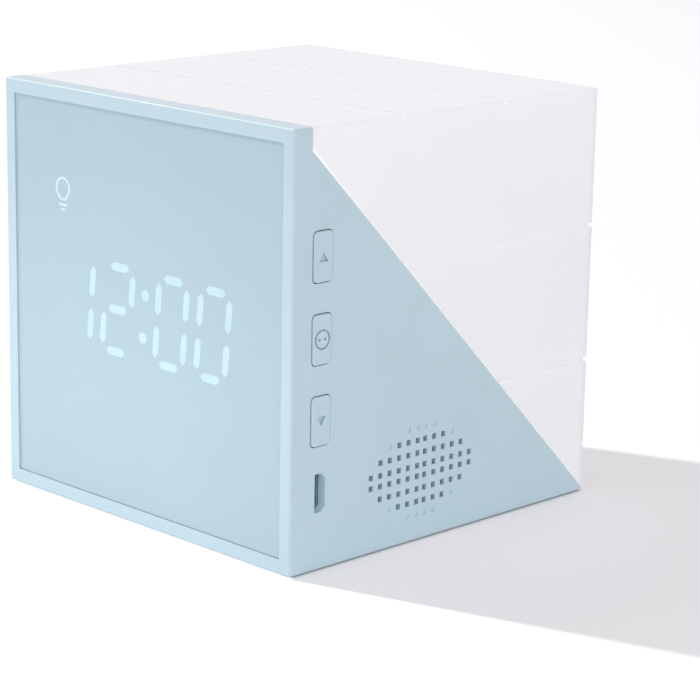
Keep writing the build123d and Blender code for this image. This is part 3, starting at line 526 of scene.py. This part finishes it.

# %% [markdown]
# ## The white half
# Milky plastic lets light in a few millimetres and spreads it, so that its edges are soft and its grooves are
# hardly darker than its faces. Subsurface scattering softens the edges. The light that wanders along inside
# the wall and comes out again is painted on as a faint glow, because the wall is too thin and too hollow to
# carry it in so few steps. This painted light also lifts the shade in the grooves and puts painted highlights
# on the seam and the edges. Masks place that glow by arithmetic on the distances from the cube's faces.

# %% Milky plastic, and the distances on it
finishes["white_diffuser"] = moulded(
    "white_diffuser", paint(234, 234, 238), paint(237, 237, 241), roughness=0.43,
    grain_scale=3500.0, cloud_scale=40.0, strength=0.15,
)
tree, shader = open_finish(finishes["white_diffuser"])
shader.inputs["Subsurface Weight"].default_value = 0.3
shader.inputs["Subsurface Radius"].default_value = (1.0, 1.0, 1.05)
shader.inputs["Subsurface Scale"].default_value = 0.002

across, along, rise = read_place(tree)
from_right = reckon(tree, "SUBTRACT", half, across)
from_left = reckon(tree, "ADD", across, half)
from_back = reckon(tree, "SUBTRACT", half, along)
from_top = reckon(tree, "SUBTRACT", top, rise)
diffuser_low, diffuser_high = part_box("diffuser")
print("white half:", [round(v, 4) for v in diffuser_high - diffuser_low])

# %% [markdown]
# ### Grooves
# A point lies in a groove if it is close to one of the planes at the thirds of the cube and below the outer
# faces. The grooves get a painted glow that stands in for light and lifts their shade. The walls of a groove
# glow more than its floor, and the grooves of the upright faces more than those of the top, which the lamp
# from the left lights by itself.


# %% Find the grooves
def least(tree, *values):
    """The least of several values."""
    lowest = values[0]
    for value in values[1:]:
        lowest = reckon(tree, "MINIMUM", lowest, value)
    return lowest


third = half / 3
middle_height = top - half
groove_reach = 0.00055
face_skin = 0.00004

from_middle = (across, along, reckon(tree, "SUBTRACT", rise, middle_height))
bands = [within(tree, reckon(tree, "ABSOLUTE", offset), third, groove_reach) for offset in from_middle]
in_band = reckon(tree, "MAXIMUM", reckon(tree, "MAXIMUM", bands[0], bands[1]), bands[2])
sunk = least(tree, from_left, from_right, from_back, from_top)
in_groove = overlap(tree, in_band, reckon(tree, "GREATER_THAN", sunk, face_skin))
print("grooves at", round(third, 4), "from the middle, deeper than", face_skin)

# %% Paint light into them
# The grooves' glow is painted light that lifts their shade.
groove_floor = 0.00074
edge_reach = 0.001
groove_light = 0.22
upright_light = 0.155
wall_gain = 0.8

upright = reckon(tree, "GREATER_THAN", from_top, edge_reach)
on_wall = reckon(tree, "LESS_THAN", sunk, groove_floor)
groove_glow = overlap(
    tree,
    in_groove,
    reckon(tree, "MULTIPLY_ADD", upright, upright_light, groove_light),
    reckon(tree, "MULTIPLY_ADD", on_wall, wall_gain, 1.0),
)
print("groove light:", groove_light, "on top,", round(groove_light + upright_light, 3), "on upright faces")

# %% [markdown]
# ### Seam and edges
# The cut edge along the seam gets a painted highlight, brightest near the top. A point lies at the seam if it
# is close to the slanted plane, or to the back of the frame. The rounded upper right edge and the upper part
# of the right side get a little painted light too. The edges farthest from the camera are painted greyer as
# painted shade, and the top a trace darker.


# %% Painted highlight at the seam
def fade(tree, value, start, end):
    """Fall from 1 to 0 while a value goes from start to end."""
    ramp = tree.nodes.new("ShaderNodeMapRange")
    ramp.inputs["From Min"].default_value = start
    ramp.inputs["From Max"].default_value = end
    ramp.inputs["To Min"].default_value = 1.0
    ramp.inputs["To Max"].default_value = 0.0
    tree.links.new(value, ramp.inputs["Value"])
    return ramp.outputs["Result"]


# The seam's glow is a painted highlight.
seam_reach = 0.0005
seam_top_light = 1.15
seam_low_light = 0.3
seam_fall = 0.6 / 0.014

past_seam = reckon(tree, "SUBTRACT", reckon(tree, "ADD", along, rise), middle_height)
past_frame = reckon(tree, "SUBTRACT", along, diffuser_low.y)
from_blue = least(tree, reckon(tree, "MULTIPLY", past_seam, sqrt(0.5)), past_frame)
falling_light = reckon(tree, "MULTIPLY_ADD", from_top, -seam_fall, seam_top_light)
seam_glow = overlap(
    tree,
    reckon(tree, "LESS_THAN", from_blue, seam_reach),
    reckon(tree, "MAXIMUM", falling_light, seam_low_light),
)
print("seam's light falls down to", round((seam_top_light - seam_low_light) / seam_fall, 4), "below the top")

# %% Painted light at the upper right edge and side, and all of it gathered
# The glow of the upper right edge and side is painted light.
edge_light = 0.65
side_light = 0.16
side_fall = 0.036
no_glow = (0, 0, 0, 1)
full_glow = (0.2, 0.2, 0.208, 1)

from_right_edge = reckon(tree, "MAXIMUM", from_right, from_top)
edge_glow = reckon(tree, "MULTIPLY", fade(tree, from_right_edge, 0.0, edge_reach), edge_light)
edge_glow = overlap(tree, edge_glow, reckon(tree, "SUBTRACT", 1.0, in_groove))
on_right = reckon(tree, "LESS_THAN", from_right, edge_reach)
side_glow = overlap(tree, on_right, upright, fade(tree, from_top, 0.0, side_fall))

glow = reckon(tree, "MAXIMUM", reckon(tree, "MAXIMUM", groove_glow, seam_glow), edge_glow)
glow = reckon(tree, "MULTIPLY_ADD", side_glow, side_light, glow)
tree.links.new(mix_colours(tree, glow, no_glow, full_glow), shader.inputs["Emission Color"])
shader.inputs["Emission Strength"].default_value = 1.0
print("nodes of the glow:", len(tree.nodes))

# %% Painted shade on the top and the far edges
# The darker top and greyer far edges are painted shade.
top_face = 0.0006
far_edge_reach = 0.0025
from_far_edge = least(
    tree,
    reckon(tree, "MAXIMUM", from_left, from_top),
    reckon(tree, "MAXIMUM", from_back, from_top),
    reckon(tree, "MAXIMUM", from_back, least(tree, from_left, from_right)),
)
lay_over(tree, shader, reckon(tree, "LESS_THAN", from_top, top_face), paint(233, 233, 237))
lay_over(tree, shader, fade(tree, from_far_edge, 0.0, far_edge_reach), paint(222, 222, 227))
print("nodes of the white half:", len(tree.nodes))

# %% [markdown]
# ## Lit bars and lamps
# The bars of the digits and the bulb sign are windows with a small lamp behind each. The lamps could shine
# through them, but at this size a window that glows by itself looks the same, without noise. The light is a
# little uneven, as it is on a real display, and the sign's thin lines are brighter. The lamps themselves have
# a pale yellow lens.


# %% Lit windows
def lit_window(name, dim, bright):
    """Window of a lamp, with a glow that wanders between two colours."""
    material, tree, shader = start_finish(name)
    cloud = place_group(tree, moulded_grain, Grain_Scale=1500.0, Cloud_Scale=250.0)["Cloud"]
    body = mix_colours(tree, cloud, paint(168, 196, 202), paint(176, 204, 210))
    tree.links.new(body, shader.inputs["Base Color"])
    tree.links.new(mix_colours(tree, spread(tree, cloud), dim, bright), shader.inputs["Emission Color"])
    shader.inputs["Emission Strength"].default_value = 1.0
    shader.inputs["Roughness"].default_value = 0.5
    return material


lit = {
    "lit_window": lit_window("lit_window", dim=(0.09, 0.12, 0.13, 1), bright=(0.12, 0.15, 0.16, 1)),
    "lit_sign": lit_window("lit_sign", dim=(0.17, 0.19, 0.19, 1), bright=(0.20, 0.22, 0.22, 1)),
}
finishes.update(lit)
print("lit:", list(lit))

# %% Lamp lenses
finishes["lamp_body"], tree, shader = start_finish("lamp_body")
skin = place_group(tree, moulded_grain, Grain_Scale=2500.0, Cloud_Scale=700.0)
colour_by(tree, shader, skin["Cloud"], paint(236, 214, 120), paint(246, 232, 168))
shader.inputs["Roughness"].default_value = 0.25
raise_bump(tree, shader, skin["Grain"], depth=0.00002, strength=0.2)
print("lenses:", len(tree.nodes), "nodes")

# %% [markdown]
# ## Boards and cell
# A circuit board is glass cloth under lacquer, with copper tracks that show as lines. A brick pattern gives
# the right-angled look of tracks. It is drawn on one plane, so it is turned to face the board: the main board
# stands upright, and the lamp board lies on the slant. The cell wears a shrink sleeve with a slight shine and
# faint rings.


# %% Circuit boards
def circuit_board(name, ground, track, turn):
    """Lacquered board with tracks drawn by a brick pattern."""
    material, tree, shader = start_finish(name)
    mapping = tree.nodes.new("ShaderNodeMapping")
    mapping.inputs["Rotation"].default_value = (turn, 0, 0)
    tree.links.new(tree.nodes.new("ShaderNodeTexCoord").outputs["Object"], mapping.inputs["Vector"])
    tracks = tree.nodes.new("ShaderNodeTexBrick")
    tracks.inputs["Scale"].default_value = 220.0
    tracks.inputs["Mortar Size"].default_value = 0.035
    tracks.inputs["Color1"].default_value = ground
    tracks.inputs["Color2"].default_value = ground
    tracks.inputs["Mortar"].default_value = track
    tree.links.new(mapping.outputs["Vector"], tracks.inputs["Vector"])
    tree.links.new(tracks.outputs["Color"], shader.inputs["Base Color"])
    shader.inputs["Roughness"].default_value = 0.32
    shader.inputs["Coat Weight"].default_value = 0.4
    raise_bump(tree, shader, tracks.outputs["Fac"], depth=0.00003, strength=0.4)
    return material


boards = {
    "green_board": (paint(28, 96, 62), paint(54, 132, 88), radians(90)),
    "white_board": (paint(236, 236, 232), paint(222, 222, 216), radians(45)),
}
for name, (ground, track, turn) in boards.items():
    finishes[name] = circuit_board(name, ground, track, turn)
print("boards:", list(boards))

# %% The cell's sleeve
finishes["cell_wrap"], tree, shader = start_finish("cell_wrap")
rings = place_group(tree, drawn_lines, Along_X=900.0, Along_Y=20.0, Along_Z=20.0)["Lines"]
colour_by(tree, shader, rings, paint(58, 116, 160), paint(72, 132, 176))
tree.links.new(spread(tree, rings, 0.29, 0.40), shader.inputs["Roughness"])
raise_bump(tree, shader, rings, depth=0.00003, strength=0.3)
print("finishes:", len(finishes))

# %% [markdown]
# ## Floor close to the clock
# The clock stands on low feet. The bright floor in front spills light into the slit under the front edge, so
# that no dark line shows there, while one shows under the right-hand side, which stands in the shadow. The
# shadow itself is lighter and warmer close to that side. Lamps that do this would have to lie under the
# clock, so the floor gets a faint glow instead, placed by position. Only the camera sees it, so it adds no
# light to the clock.

# %% Find the slit and the floor beside the right-hand side
slit_start = -0.0002
slit_bright = 0.0008
slit_dark = 0.0014
spill_reach = 0.045
spill_middle = -0.005
spill_stretch = 0.7

tree, shader = open_finish(floor_paint)
across, along, _ = read_place(tree)
past_front = reckon(tree, "ADD", along, half)
in_slit = overlap(
    tree,
    reckon(tree, "GREATER_THAN", past_front, slit_start),
    within(tree, across, 0.0, half),
    fade(tree, past_front, slit_bright, slit_dark),
)

past_side = reckon(tree, "SUBTRACT", across, half)
along_side = reckon(tree, "MULTIPLY", reckon(tree, "SUBTRACT", along, spill_middle), spill_stretch)
along_squared = reckon(tree, "MULTIPLY", along_side, along_side)
away = reckon(tree, "SQRT", reckon(tree, "MULTIPLY_ADD", past_side, past_side, along_squared))
beside_wall = overlap(
    tree, fade(tree, away, 0.0, spill_reach), reckon(tree, "GREATER_THAN", past_side, 0.0)
)
print("slit is bright to", slit_bright, "behind the front, and light spills", spill_reach, "from the side")

# %% Spill light there
rays = tree.nodes.new("ShaderNodeLightPath").outputs
side_spill = mix_colours(tree, beside_wall, no_glow, (0.085, 0.038, 0.040, 1))
spill = mix_colours(tree, in_slit, side_spill, (0.6, 0.6, 0.6, 1))
tree.links.new(spill, shader.inputs["Emission Color"])
tree.links.new(rays["Is Camera Ray"], shader.inputs["Emission Strength"])
print("nodes of the spill:", len(tree.nodes))

# %% [markdown]
# ## Grey patch on the left
# On the left, where the small lamp stands, a white floor would throw so much light back that the white side
# clips. A photographer lays a grey card there. Here the floor looks white all over, but its patch beside that
# side sends only a quarter of the light on to matt surfaces.

# %% Tone of the floor
patch_back = 0.08
floor_white = (1.0, 0.985, 0.995, 1)
patch_grey = (0.25, 0.246, 0.249, 1)
in_patch = overlap(
    tree,
    reckon(tree, "LESS_THAN", across, -half),
    reckon(tree, "GREATER_THAN", along, -half),
    reckon(tree, "LESS_THAN", along, patch_back),
    rays["Is Diffuse Ray"],
)
tree.links.new(mix_colours(tree, in_patch, floor_white, patch_grey), shader.inputs["Base Color"])
print("grey patch from y", round(-half, 4), "to", patch_back)

# %% [markdown]
# ## Dress the nodes
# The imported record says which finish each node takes, apart from a few nodes that have one of their own. A
# node keeps its mesh and its place, and only its material slot changes.

# %% Give each node its finish
own_finish = {
    "up_key": "pale_blue_key",
    "set_key": "pale_blue_key",
    "down_key": "pale_blue_key",
    "socket_shell": "socket_steel_reflection",
    "socket_tongue": "socket_tongue",
    "lamp_sign": "lit_sign",
}
for subpart in frame["record"]["subparts"]:
    finish = own_finish.get(subpart["node"], subpart["material_slot"])
    for slot in frame["nodes"][subpart["node"]].material_slots:
        slot.material = finishes[finish]

# %% [markdown]
# ## Contacts of the charging socket
# Five gilt contacts lie on the front of the socket's tongue. They could be plain strips, but a stamped
# contact narrows and dips at its front end, so that the plug slides over it. So one contact is modelled by
# hand: a cube is drawn to a strip, its front face is extruded and made smaller towards the tongue, and all
# its edges are bevelled. The other four are copies at the socket's pitch. Their places come from the tongue's
# box in the CAD model.

# %% Lay out the contacts
contact_count = 5
contact_pitch = 0.00065
contact_width = 0.0003
contact_rise = 0.00008
strip_length = 0.0028
nose_length = 0.0002
nose_setback = 0.0002
blade_half = 0.00035

tongue_low, tongue_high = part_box("socket_tongue")
tongue_middle = (tongue_low + tongue_high) / 2
blade_front = tongue_middle.y - blade_half
nose_end = tongue_high.x - nose_setback
strip_end = nose_end - nose_length
first_height = tongue_middle.z - contact_pitch * (contact_count - 1) / 2
print("first contact at", [round(v, 5) for v in (strip_end, blade_front, first_height)])

# %% Draw one strip
bpy.ops.object.select_all(action="DESELECT")
bpy.ops.mesh.primitive_cube_add(
    size=1.0,
    location=(strip_end - strip_length / 2, blade_front - contact_rise / 2, first_height),
    scale=(strip_length, contact_rise, contact_width),
)
first_contact = bpy.context.object
first_contact.name = "socket_contacts"
bpy.ops.object.transform_apply(location=True, rotation=True, scale=True)
first_contact.data.materials.append(finishes["gilt_contact"])
print("strip:", [round(v, 5) for v in first_contact.dimensions])

# %% Draw out its nose and soften its edges
facing_out = 0.9
nose_rise_share = 0.5
nose_width_share = 0.6
edge_round = 0.000015

bpy.ops.object.mode_set(mode="EDIT")
bpy.ops.mesh.select_mode(type="FACE")
bpy.ops.mesh.select_all(action="DESELECT")
bpy.ops.object.mode_set(mode="OBJECT")
for face in first_contact.data.polygons:
    face.select = face.normal.x > facing_out
bpy.ops.object.mode_set(mode="EDIT")
bpy.ops.mesh.extrude_region_move(TRANSFORM_OT_translate={"value": (nose_length, 0, 0)})
bpy.ops.transform.resize(
    value=(1.0, nose_rise_share, nose_width_share), center_override=(nose_end, blade_front, first_height)
)
bpy.ops.mesh.select_all(action="SELECT")
bpy.ops.mesh.bevel(offset=edge_round, segments=2, affect="EDGES")
bpy.ops.object.mode_set(mode="OBJECT")
print("one contact:", len(first_contact.data.polygons), "faces")

# %% Copy it at the socket's pitch
contacts = [first_contact]
for _ in range(contact_count - 1):
    bpy.ops.object.duplicate()
    bpy.ops.transform.translate(value=(0, 0, contact_pitch))
    contacts.append(bpy.context.object)
print("contacts raised by", [round(contact.location.z, 5) for contact in contacts])

# %% Join the contacts and let them ride with the case
bpy.ops.object.select_all(action="DESELECT")
for contact in contacts:
    contact.select_set(True)
bpy.context.view_layer.objects.active = first_contact
bpy.ops.object.join()
socket_contacts = bpy.context.object
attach(socket_contacts, "case")
print("joined:", [round(v, 5) for v in socket_contacts.dimensions], "at", list(socket_contacts.location))
